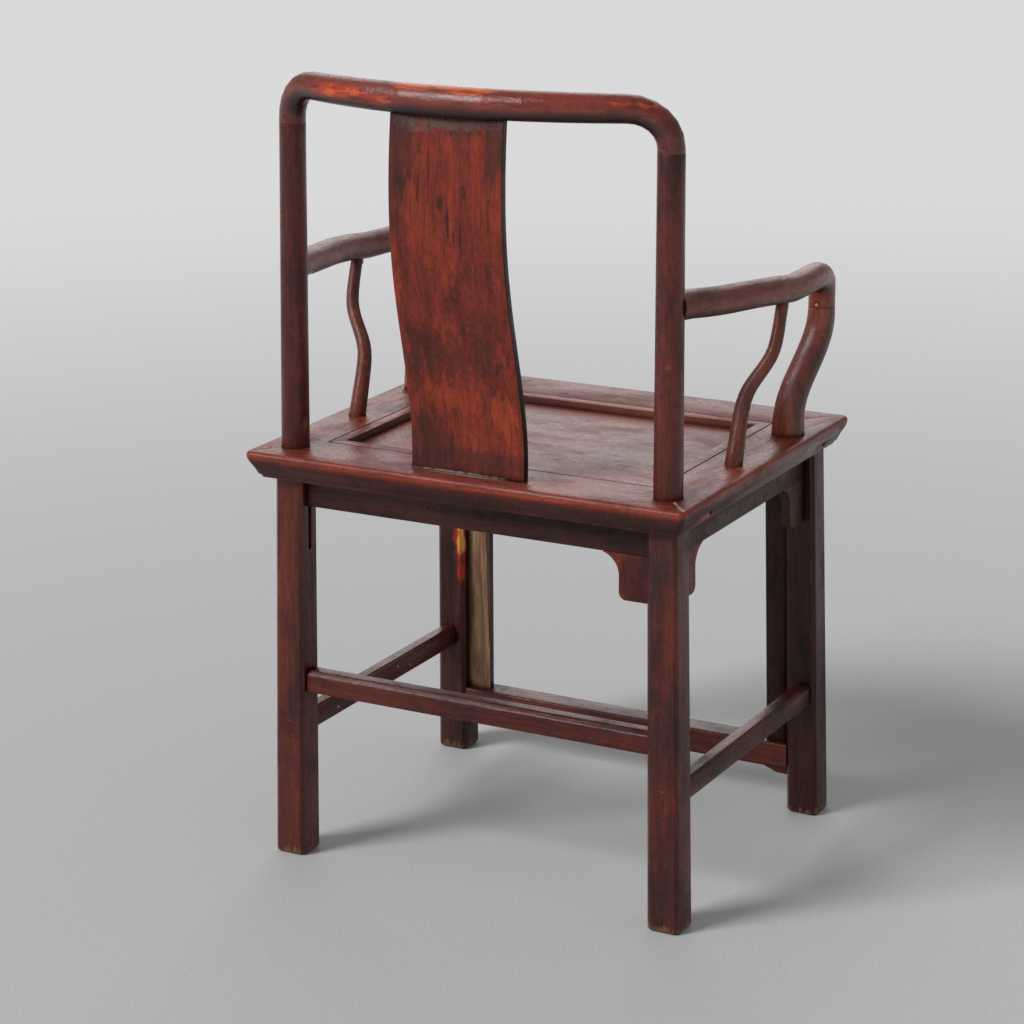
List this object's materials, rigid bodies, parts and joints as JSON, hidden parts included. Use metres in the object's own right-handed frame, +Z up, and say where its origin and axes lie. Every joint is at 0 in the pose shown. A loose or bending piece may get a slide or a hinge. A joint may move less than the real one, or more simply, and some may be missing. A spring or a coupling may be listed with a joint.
{
  "type": "armchair",
  "caption": "Ming style wooden armchair with a bowed crest rail, curved back splat, goose-neck arm supports, framed panel seat, leg stretchers and a low front footrest.",
  "frame": {"origin": "on the floor, under the middle of the whole chair's bounding box", "axes": "+Z up, -Y the way the sitter faces, +X to the sitter's left"},
  "size_m": [0.5882, 0.4842, 0.9378],
  "materials": {
    "frame_wood": "worn deep red-brown lacquer over hardwood",
    "splat_wood": "worn red-orange lacquer with a visible upright grain",
    "panel_wood": "dull worn brown lacquer",
    "lining_wood": "worn red-brown lacquer, rear faces partly bare",
    "plain_wood": "bare unlacquered wood",
    "peg_wood": "bare end grain"
  },
  "bodies": {
    "root": {"rear_leg_left": "frame_wood", "rear_leg_right": "frame_wood", "front_leg_left": "frame_wood", "front_leg_right": "frame_wood", "seat_rail_back": "frame_wood", "seat_rail_front": "frame_wood", "seat_rail_left": "frame_wood", "seat_rail_right": "frame_wood", "apron_back": "frame_wood", "apron_left": "frame_wood", "apron_right": "frame_wood", "spandrel_back_right": "frame_wood", "spandrel_left_front": "frame_wood", "spandrel_right_rear": "frame_wood", "spandrel_right_front": "frame_wood", "stretcher_back": "frame_wood", "stretcher_left": "frame_wood", "stretcher_right": "frame_wood", "footrest": "frame_wood", "footrest_apron": "frame_wood", "crest_rail": "frame_wood", "arm_rail_left": "frame_wood", "arm_rail_right": "frame_wood", "goose_neck_left": "frame_wood", "goose_neck_right": "frame_wood", "side_post_left": "frame_wood", "side_post_right": "frame_wood", "back_splat": "splat_wood", "seat_panel": "panel_wood", "arch_board_top": "lining_wood", "arch_board_left": "lining_wood", "arch_board_right": "lining_wood", "seat_batten_left": "plain_wood", "seat_batten_right": "plain_wood", "arm_pegs": "peg_wood", "crest_pegs": "peg_wood"}
  },
  "joints": []
}
